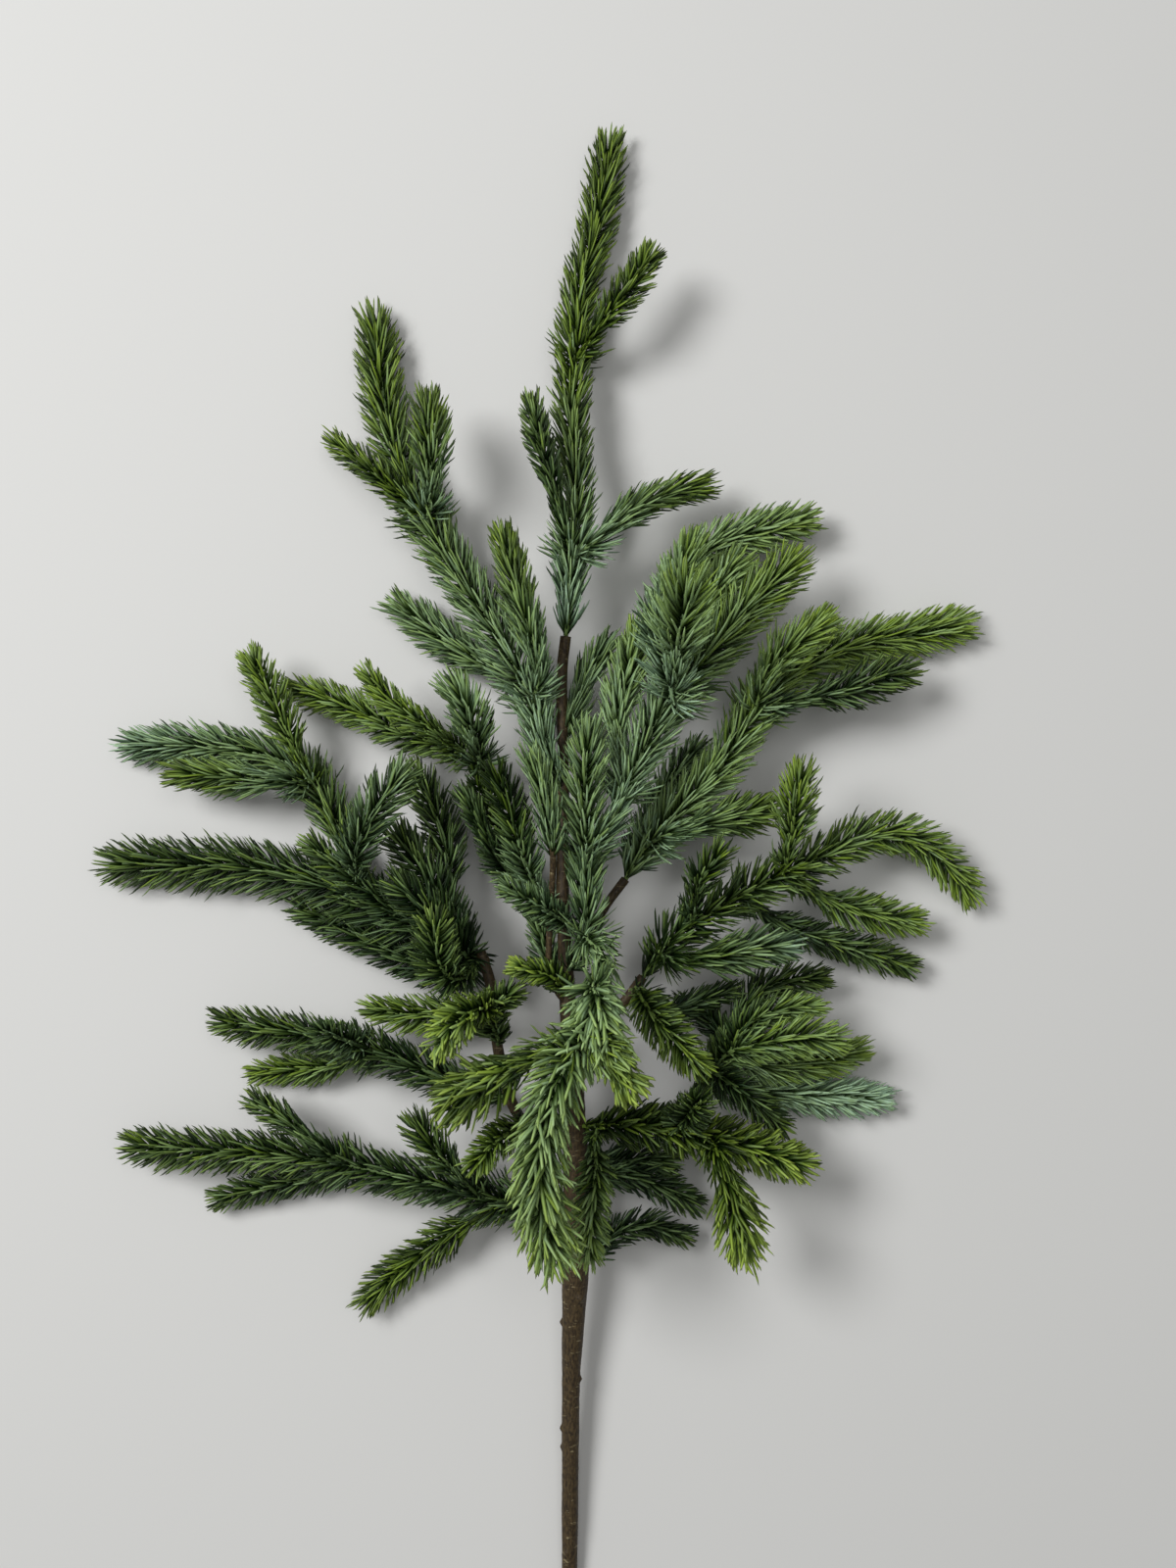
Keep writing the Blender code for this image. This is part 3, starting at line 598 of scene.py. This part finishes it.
def shoot_surface(line, bare, reach, tint, habit, base_lean, joints, seed):
    """A twig and its needles, which start at the distance bare along the line.

    A needle leans by arcsin(reach / length), and less on the top and bottom rows, where the reach is less by
    FLATTENED sin^2 of its turn. The first needles lean by base_lean, the needles just past each joint stand
    out in a whorl, and the last ones fold together round the tip. Dust, fresh colour and lightness each run
    from the tint's share at the base to its share at the tip; the lightness is partly dye and partly painted
    shade, and the needles on top get painted light and those underneath painted shade.
    """
    rng = np.random.default_rng(seed)
    (frost_base, frost_tip, frost_falls, fresh_base, fresh_tip,
     light_base, light_tip, plump, loose) = TINTS[tint]
    needle_length, pitch, widest = habit
    run = line_run(line)
    twig_end = max(run[-1] - FOLDED * needle_length - TIP_SETBACK, bare + SHORTEST_TWIG)
    at, turn = needle_places(line, run, bare, twig_end, pitch, rng)
    count = len(at)
    tangents, normals, _ = line_frames(line)
    roots = read_line(line, run, at)
    tangent = unit(read_line(tangents, run, at))
    normal = unit(read_line(normals, run, at))
    outward = np.cross(tangent, normal) * np.cos(turn)[:, None] + normal * np.sin(turn)[:, None]
    share = np.clip((at - bare) / max(twig_end - bare, 1.0), 0.0, 1.0)
    near_tip = np.clip(1.0 - (twig_end - at) / TIP_ZONE, 0.0, 1.0)
    near_base = np.exp(-(((at - bare) / BASE_ZONE) ** 2))
    whorl = np.zeros(count)
    for joint in joints:
        past = np.exp(-(((at - joint) / WHORL_ZONE) ** 2))
        whorl = np.maximum(whorl, np.where(at > joint - WHORL_START, past, 0.0))
    out = np.interp(at, run, reach) * REACH
    lengths = np.maximum(needle_length, out / np.sin(widest)) * rng.normal(1.0, LENGTH_SCATTER, count)
    lengths = lengths * (1.0 - BASE_SHORTER * near_base) * (1.0 - TIP_SHORTER * near_tip)
    full = np.clip((out - PLUMP_FROM) / (PLUMP_FULL - PLUMP_FROM), 0.0, 1.0)
    out = out * (1.0 - FLATTENED * np.sin(turn) ** 2)
    most_sine = np.sin(min(widest + LEAN_MARGIN, WIDEST_LEAN))
    lean = np.arcsin(np.clip((out - FOOT_REACH) / lengths, LEAST_SINE, most_sine))
    lean = lean + whorl * np.clip(rng.uniform(*WHORL_LEAN, count) - lean, 0.0, None)
    lean = lean * (1.0 - near_base) + base_lean * near_base
    lean = lean * (1.0 - TIP_FOLDS * near_tip) + rng.normal(0.0, LEAN_SCATTER * loose, count)
    lean[-END_NEEDLES:] = rng.uniform(*END_LEAN, END_NEEDLES)
    frost = frost_tip + (frost_base - frost_tip) * (1.0 - share) ** frost_falls
    fresh = fresh_base + (fresh_tip - fresh_base) * share**FRESH_FALLS
    light = light_base + (light_tip - light_base) * share
    tone = light + TONE_SHIFT + PAINTED_TOP_LIGHT * np.sin(turn)
    values = {
        "tone": np.clip(tone + rng.uniform(-TONE_SCATTER, TONE_SCATTER, count), 0.0, 1.0),
        "frost": np.clip(frost + rng.normal(0.0, DUST_SCATTER, count), 0.0, 1.0),
        "fresh": np.clip(fresh + rng.normal(0.0, DUST_SCATTER, count), 0.0, 1.0),
    }
    thickness = TWIG_RADIUS * (1.0 - TWIG_TAPER * at / run[-1])
    widths = NEEDLE_WIDTH * (1.0 + (plump - 1.0) * full) * rng.normal(1.0, WIDTH_SCATTER, count)
    needles = needle_surfaces(roots + outward * thickness[:, None] * ROOT_DEPTH, tangent, normal, outward,
                              np.clip(lean, *LEAN_RANGE), lengths, widths, loose, values, rng)
    kept = (run <= twig_end) & (run >= bare - TWIG_LEAD)
    thin = TWIG_RADIUS * (1.0 - TWIG_TAPER * run[kept][::2] / run[-1])
    twig = tube_surface(line[kept][::2], thin, TWIG_SIDES, TWIG_UV)
    twig_values = {"frost": np.mean(frost), "fresh": np.mean(fresh), "along": TWIG_ALONG,
                   "tone": min(np.mean(light) + TWIG_TONE, 1.0)}
    for key, value in twig_values.items():
        twig[key] = np.full(len(twig["points"]), value)
    return join_surfaces([needles, twig])


# ------------------------------ materials

MIX_FACTOR, MIX_A, MIX_B, MIX_COLOUR = 0, 6, 7, 2      # the Mix node's colour sockets, by number
COLOUR_MIX = {"data_type": "RGBA", "blend_type": "MIX"}
COLOUR_SHADE = {"data_type": "RGBA", "blend_type": "MULTIPLY"}
EASED = {"interpolation_type": "SMOOTHSTEP"}
TIMES = {"operation": "MULTIPLY"}

DUST_GRAIN = 2.2         # the dusting's patches, in millimetres: about two needles wide, as powder settles
BARK_GRAIN = 1.1         # the moulded scales of the bark
BARK_RUBBED = 2.4        # the places where the paint has rubbed off


def add_node(tree, kind, settings=None, inputs=None):
    """Adds a node. settings are its properties, and inputs are values or the sockets that feed it."""
    node = tree.nodes.new(kind)
    for key, value in (settings or {}).items():
        setattr(node, key, value)
    for key, value in (inputs or {}).items():
        if isinstance(value, bpy.types.NodeSocket):
            tree.links.new(value, node.inputs[key])
        else:
            node.inputs[key].default_value = value
    return node


def new_material(name):
    """An empty material and its node tree."""
    material = bpy.data.materials.new(name)
    material.use_nodes = True
    tree = material.node_tree
    tree.nodes.clear()
    return material, tree


def per_metre(size_mm):
    """The scale of a pattern whose grains are this many millimetres across."""
    return 1.0 / (size_mm * MM)


def moulded_needle_material():
    """Soft moulded polyethylene, dyed dark olive in the mass, yellower where it is fresh and dusted with pale
    blue-green powder paint: a satin surface with a broad dull highlight. Painted shade darkens each needle
    towards its root, where the needles crowd round the twig, and darkens the needles of low tone."""
    material, tree = new_material("moulded_polyethylene_needles")
    along, tone, frost, fresh = (add_node(tree, "ShaderNodeAttribute", {"attribute_name": key}).outputs["Fac"]
                                 for key in VALUES)
    place = add_node(tree, "ShaderNodeTexCoord").outputs["Object"]
    grain = add_node(tree, "ShaderNodeTexNoise", inputs={"Vector": place, "Scale": per_metre(DUST_GRAIN),
                                                         "Detail": 3.0}).outputs["Fac"]
    # The tone carries painted light on the top needles and painted shade on those underneath, along with each
    # needle's own dye, so the dye mix, the powder and the shade below all follow it.
    dyed = add_node(tree, "ShaderNodeMix", COLOUR_MIX, {
        MIX_FACTOR: tone, MIX_A: linear("#31500f"), MIX_B: linear("#7a962c")}).outputs[MIX_COLOUR]
    tip = add_node(tree, "ShaderNodeMapRange", EASED, {
        "Value": along, "From Min": 0.4, "From Max": 1.0, "To Min": 0.0, "To Max": 0.4}).outputs["Result"]
    tipped = add_node(tree, "ShaderNodeMix", COLOUR_MIX, {
        MIX_FACTOR: tip, MIX_A: dyed, MIX_B: linear("#7f9838")}).outputs[MIX_COLOUR]
    new_growth = add_node(tree, "ShaderNodeMix", COLOUR_MIX, {
        MIX_FACTOR: along, MIX_A: linear("#527c26"), MIX_B: linear("#b0c654")}).outputs[MIX_COLOUR]
    freshened = add_node(tree, "ShaderNodeMix", COLOUR_MIX, {
        MIX_FACTOR: fresh, MIX_A: tipped, MIX_B: new_growth}).outputs[MIX_COLOUR]
    # The powder's palest end, on the needles of highest tone, is lightened partly as a painted highlight.
    powder = add_node(tree, "ShaderNodeMix", COLOUR_MIX, {
        MIX_FACTOR: tone, MIX_A: linear("#5a7e68"), MIX_B: linear("#b8d8be")}).outputs[MIX_COLOUR]
    cover = add_node(tree, "ShaderNodeMapRange", inputs={
        "Value": grain, "From Min": 0.35, "From Max": 0.65, "To Min": 0.6, "To Max": 0.95}).outputs["Result"]
    # Painted shade: the dust thins towards each needle's root, so the crowded middle of a shoot stays dark.
    outer = add_node(tree, "ShaderNodeMapRange", EASED, {
        "Value": along, "From Min": 0.0, "From Max": 0.5, "To Min": 0.25, "To Max": 1.0}).outputs["Result"]
    patchy_dust_with_root_shade = add_node(tree, "ShaderNodeMath", TIMES, {0: cover, 1: outer}).outputs[0]
    dusting = add_node(tree, "ShaderNodeMath", TIMES, {0: frost, 1: patchy_dust_with_root_shade}).outputs[0]
    dusted = add_node(tree, "ShaderNodeMix", COLOUR_MIX, {
        MIX_FACTOR: dusting, MIX_A: freshened, MIX_B: powder}).outputs[MIX_COLOUR]
    # Painted shade: each needle darkens towards #22421a at its root, where the needles crowd round the twig,
    # and the needles of low tone are darkened as well.
    depth = add_node(tree, "ShaderNodeMapRange", EASED, {
        "Value": along, "From Min": 0.0, "From Max": 0.75, "To Min": 0.02, "To Max": 1.0}).outputs["Result"]
    strength = add_node(tree, "ShaderNodeMapRange", EASED, {
        "Value": tone, "To Min": 0.1, "To Max": 1.0}).outputs["Result"]
    lightness = add_node(tree, "ShaderNodeMath", TIMES, {0: depth, 1: strength}).outputs[0]
    shade = add_node(tree, "ShaderNodeMix", COLOUR_MIX, {
        MIX_FACTOR: lightness, MIX_A: linear("#22421a"), MIX_B: linear("#ffffff")}).outputs[MIX_COLOUR]
    colour = add_node(tree, "ShaderNodeMix", COLOUR_SHADE, {
        MIX_FACTOR: 1.0, MIX_A: dusted, MIX_B: shade}).outputs[MIX_COLOUR]
    rough = add_node(tree, "ShaderNodeMapRange", inputs={
        "Value": dusting, "To Min": 0.38, "To Max": 0.6}).outputs["Result"]
    shader = add_node(tree, "ShaderNodeBsdfPrincipled", inputs={
        "Base Color": colour, "Roughness": rough, "IOR": 1.51, "Specular IOR Level": 0.22})
    add_node(tree, "ShaderNodeOutputMaterial", inputs={"Surface": shader.outputs["BSDF"]})
    return material


def bark_material():
    """Moulded bark on a wrapped wire stem: matt dark brown, with pale scuffs where the paint has rubbed off
    the raised scales."""
    material, tree = new_material("moulded_bark_brown")
    place = add_node(tree, "ShaderNodeTexCoord").outputs["Object"]
    drawn_out = add_node(tree, "ShaderNodeMapping", inputs={"Vector": place, "Scale": (1.0, 0.35, 1.0)})
    across = add_node(tree, "ShaderNodeMapping", inputs={"Vector": place, "Scale": (0.45, 1.8, 0.45)})
    grain = add_node(tree, "ShaderNodeTexNoise", inputs={
        "Vector": drawn_out.outputs["Vector"], "Scale": per_metre(BARK_GRAIN), "Detail": 4.0,
        "Roughness": 0.65}).outputs["Fac"]
    rubbed = add_node(tree, "ShaderNodeTexNoise", inputs={
        "Vector": across.outputs["Vector"], "Scale": per_metre(BARK_RUBBED), "Detail": 3.0,
        "Distortion": 0.8}).outputs["Fac"]
    depth = add_node(tree, "ShaderNodeMapRange", EASED, {
        "Value": grain, "From Min": 0.34, "From Max": 0.66}).outputs["Result"]
    brown = add_node(tree, "ShaderNodeMix", COLOUR_MIX, {
        MIX_FACTOR: depth, MIX_A: linear("#281e11"), MIX_B: linear("#4e4028")}).outputs[MIX_COLOUR]
    scuffs = add_node(tree, "ShaderNodeMapRange", EASED, {
        "Value": rubbed, "From Min": 0.63, "From Max": 0.7, "To Min": 0.0, "To Max": 0.6}).outputs["Result"]
    colour = add_node(tree, "ShaderNodeMix", COLOUR_MIX, {
        MIX_FACTOR: scuffs, MIX_A: brown, MIX_B: linear("#968a68")}).outputs[MIX_COLOUR]
    bump = add_node(tree, "ShaderNodeBump", inputs={"Height": grain, "Distance": 0.25 * MM, "Strength": 0.5})
    shader = add_node(tree, "ShaderNodeBsdfPrincipled", inputs={
        "Base Color": colour, "Roughness": 0.6, "IOR": 1.48, "Specular IOR Level": 0.35,
        "Normal": bump.outputs["Normal"]})
    add_node(tree, "ShaderNodeOutputMaterial", inputs={"Surface": shader.outputs["BSDF"]})
    return material


# ------------------------------ bare stems

# Three layers of relief in the bark, long ridges, scales and a fine grain: how long a bump is along the stem,
# where the layer starts in its noise, how far round in the noise one turn of the stem goes, across and down,
# where that circle's middle is, and the bumps' height as a share of the stem's radius.
BARK_LAYERS = ((14.0, 7.0, 1.7, 1.7, 9.0, 0.03), (2.6, 3.0, 2.5, 4.0, 20.0, 0.02),
               (1.3, 3.0, 5.0, 8.0, 40.0, 0.012))
NOISE_SIZE = 256         # the noise repeats after this many steps
STEM_SIDES = 24
MAIN_STEM_SIDES = 48


def smooth_noise(u, v, seed):
    """Value noise on a grid: random numbers at whole (u, v), eased between with 3t^2 - 2t^3."""
    table = np.random.default_rng(seed).uniform(-1.0, 1.0, (NOISE_SIZE, NOISE_SIZE))
    iu, iv = np.floor(u).astype(int), np.floor(v).astype(int)
    fu, fv = u - iu, v - iv
    fu, fv = fu * fu * (3 - 2 * fu), fv * fv * (3 - 2 * fv)
    iu, iv, next_u, next_v = (n % NOISE_SIZE for n in (iu, iv, iu + 1, iv + 1))
    a, b = table[iu, iv], table[next_u, iv]
    c, d = table[iu, next_v], table[next_u, next_v]
    return (a * (1 - fu) + b * fu) * (1 - fv) + (c * (1 - fu) + d * fu) * fv


def bark_relief(at, sides, seed):
    """A factor on the radius at each (distance s, angle a): one and the sum of the layers of smooth noise.

    A layer is read at (s / length + start + across * cos a, down * sin a + middle), so that it meets itself
    round the stem. Each nub adds NUB_HEIGHT * exp(-(d / NUB_LENGTH)^2 - (turn / NUB_SPREAD)^2), where d is
    the distance along from it and turn is the angle round from it.
    """
    angle = 2.0 * np.pi * np.arange(sides) / sides
    x, y = np.cos(angle), np.sin(angle)
    s = at[:, None]
    relief = 1.0
    for layer, (length, start, across, down, middle, height) in enumerate(BARK_LAYERS):
        noise = smooth_noise(s / length + start + x * across, y * down + middle + s * 0, seed + layer)
        relief = relief + height * noise
    for place, turn in NUBS:
        off = np.angle(np.exp(1j * (angle - turn)))[None, :]
        relief = relief + NUB_HEIGHT * np.exp(-(((s - place) / NUB_LENGTH) ** 2) - (off / NUB_SPREAD) ** 2)
    return relief


def bare_stem(name, bark, sides, seed):
    """A stem's bark, finer than its solid, along the same line and between its first and last rings."""
    centres, radii = envelope_rings(name)
    line = smooth_line(centres)
    run = line_run(line)
    thickness = np.interp(run, line_run(centres)[1:-1], radii[1:-1])
    relief = bark_relief(run, sides, seed)
    surface = tube_surface(line[1:-1], thickness[1:-1], sides, relief=relief[1:-1])
    add_piece(f"{name}_bark", surface, bark, [name])


# ------------------------------ the branch

STALK_ENVELOPE = 2.6     # where an envelope starts thinner than this, the shoot has a bare wire stalk,
SHORTEST_STALK = 10      # if it would be longer than this
STALK_OVERLAP = 6        # and it runs on this far under the first needles
STALK_RADIUS = 1.6
STALK_SIDES = 16
CLEAR_OF_STEM = 1.0      # the first needles stand this far outside the bark of a stem
CLEAR_OF_TWIG = 2.0      # and this far from the middle of a twig
STEM_LEAN = 0.45         # how far the first needles lean on a shoot that grows from a stem, in radians
TWIG_LEAN = 1.05         # and on one that grows from another shoot
ROOT_KNOTS, LINE_KNOTS = 4, 6           # a knot at every so many points makes one curve of root and shoot
FIRST_SEED = 100


def tint_of(name):
    """The tint that a shoot is listed under."""
    return next((tint for tint, names in SHOOT_TINTS.items() if name in names), "olive")


def read_envelopes():
    """The middle line of each node and its radius along it."""
    lines = {}
    for name in sorted(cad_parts):
        centres, radii = envelope_rings(name)
        line = smooth_line(centres)
        lines[name] = (line, np.interp(line_run(line), line_run(centres), radii))
    return lines


def needle_reach(name, line, radii):
    """How far the needles reach along a shoot: its envelope's widest radius so far, and no more than a
    straight taper from the widest place in its first half to the widest in its second."""
    half = len(radii) // 2
    taper = np.linspace(radii[:half].max(), radii[half:].max(), len(radii))
    reach = np.minimum(np.maximum.accumulate(radii), taper)
    if name in NARROW_FEET:
        foot, widens = NARROW_FEET[name]
        reach = reach * np.clip(foot + line_run(line) / widens, 0.0, 1.0)
    return reach


def build_branch(origin):
    """Bark on the bare stems, and needles on every shoot of the frame and every small twig.

    Every shoot is rooted first, so that a shoot knows where others fork from it when its needles are made.
    """
    needle, bark = moulded_needle_material(), bark_material()
    lines = read_envelopes()
    for seed, name in enumerate(STEMS):
        bare_stem(name, bark, MAIN_STEM_SIDES if name == "main_stem" else STEM_SIDES, seed)
    shoots = {}
    for name in sorted(set(lines) - set(STEMS)):
        line, radii = lines[name]
        shoots[name] = (line, needle_reach(name, line, radii), parent_of(name, line[0], lines), tint_of(name))
    for name, (parent, reach, tint, plan) in SMALL_TWIGS.items():
        line = smooth_line(from_plan(plan, origin))
        shoots[name] = (line, np.full(len(line), reach), parent, tint)
    joints = {name: [] for name in lines}
    roots = {}
    for name, (line, _, parent, _) in shoots.items():
        roots[name] = root_line(line, lines[parent][0])
        joints[parent].append(roots[name][1])
    for seed, (name, (line, reach, parent, tint)) in enumerate(shoots.items(), FIRST_SEED):
        root, fork = roots[name]
        whole = smooth_line(np.vstack((root[::ROOT_KNOTS], line[::LINE_KNOTS], line[-1:])))
        whole_reach = np.interp(np.linspace(0.0, 1.0, len(whole)),
                                np.linspace(0.0, 1.0, len(root) + len(line)),
                                np.concatenate((np.full(len(root), reach[0]), reach)))
        from_stem = parent in STEMS
        bare = lines[parent][1][fork] + CLEAR_OF_STEM if from_stem else CLEAR_OF_TWIG
        stalk = 0 if name in NARROW_FEET else int(np.argmax(reach > STALK_ENVELOPE))
        if stalk > SHORTEST_STALK:
            bare = float(len(root) + stalk)
            stalk_line = whole[:int(bare) + STALK_OVERLAP]
            wire = tube_surface(stalk_line, np.full(len(stalk_line), STALK_RADIUS), STALK_SIDES)
            add_piece(f"{name}_stalk", wire, bark, ())
        habit = TUFTED if name in TUFTS else FEATHERY if tint in FEATHERY_TINTS else COMBED
        surface = shoot_surface(whole, bare, whole_reach, tint, habit, STEM_LEAN if from_stem else TWIG_LEAN,
                                [len(root) + joint for joint in joints.get(name, ())], seed)
        add_piece(f"{name}_needles", surface, needle, [name] if name in lines else ())


# ------------------------------ floor, light and camera

FLOOR_REACH = 4.0        # metres from the middle of the floor to each side
ROOM_STRENGTH = 0.22     # the room's light fills the shadows and no more
SENSOR = 36.0


def build_stage():
    """A plain pale matt floor, and a pale room that gives a weak even light."""
    mesh = bpy.data.meshes.new("floor")
    corners = [(x * FLOOR_REACH, y * FLOOR_REACH, 0) for x, y in ((-1, -1), (1, -1), (1, 1), (-1, 1))]
    mesh.from_pydata(corners, [], [(0, 1, 2, 3)])
    floor = bpy.data.objects.new("floor", mesh)
    bpy.context.scene.collection.objects.link(floor)
    material, tree = new_material("matt_wall_paint")
    shader = add_node(tree, "ShaderNodeBsdfPrincipled", inputs={
        "Base Color": linear("#d6d6d4"), "Roughness": 0.9})
    add_node(tree, "ShaderNodeOutputMaterial", inputs={"Surface": shader.outputs["BSDF"]})
    mesh.materials.append(material)
    world = bpy.data.worlds.new("soft_room")
    bpy.context.scene.world = world
    world.use_nodes = True
    room = world.node_tree.nodes["Background"]
    room.inputs["Color"].default_value = linear("#f6f6f4")
    room.inputs["Strength"].default_value = ROOM_STRENGTH


def add_soft_light(name, place, size, power):
    """A round area lamp, turned towards the middle of the branch. Place and size are in metres, and power in
    watts."""
    light = bpy.data.lights.new(name, "AREA")
    light.shape = "DISK"
    light.size = size
    light.energy = power
    lamp = bpy.data.objects.new(name, light)
    bpy.context.scene.collection.objects.link(lamp)
    lamp.location = place
    lamp.rotation_euler = (-Vector(place)).to_track_quat("-Z", "Y").to_euler()


def build_camera(origin):
    """A camera straight above the plan's origin. Its height and lens take in VIEW_HEIGHT at the stem."""
    camera = bpy.data.cameras.new("camera")
    camera.sensor_fit = "VERTICAL"
    camera.sensor_height = SENSOR
    camera.lens = SENSOR * EYE_ABOVE_STEM / VIEW_HEIGHT
    holder = bpy.data.objects.new("camera", camera)
    bpy.context.scene.collection.objects.link(holder)
    holder.location = Vector((*origin, EYE_ABOVE_STEM + STEM_HEIGHT)) * MM
    bpy.context.scene.camera = holder


plan_centre = plan_origin()
build_branch(plan_centre)
build_stage()
add_soft_light("window", place=(-1.4, 0.8, 2.0), size=1.1, power=51.0)
add_soft_light("ceiling", place=(0.3, 0.5, 2.4), size=1.4, power=11.0)
build_camera(plan_centre)
bpy.context.scene.view_settings.view_transform = "Standard"
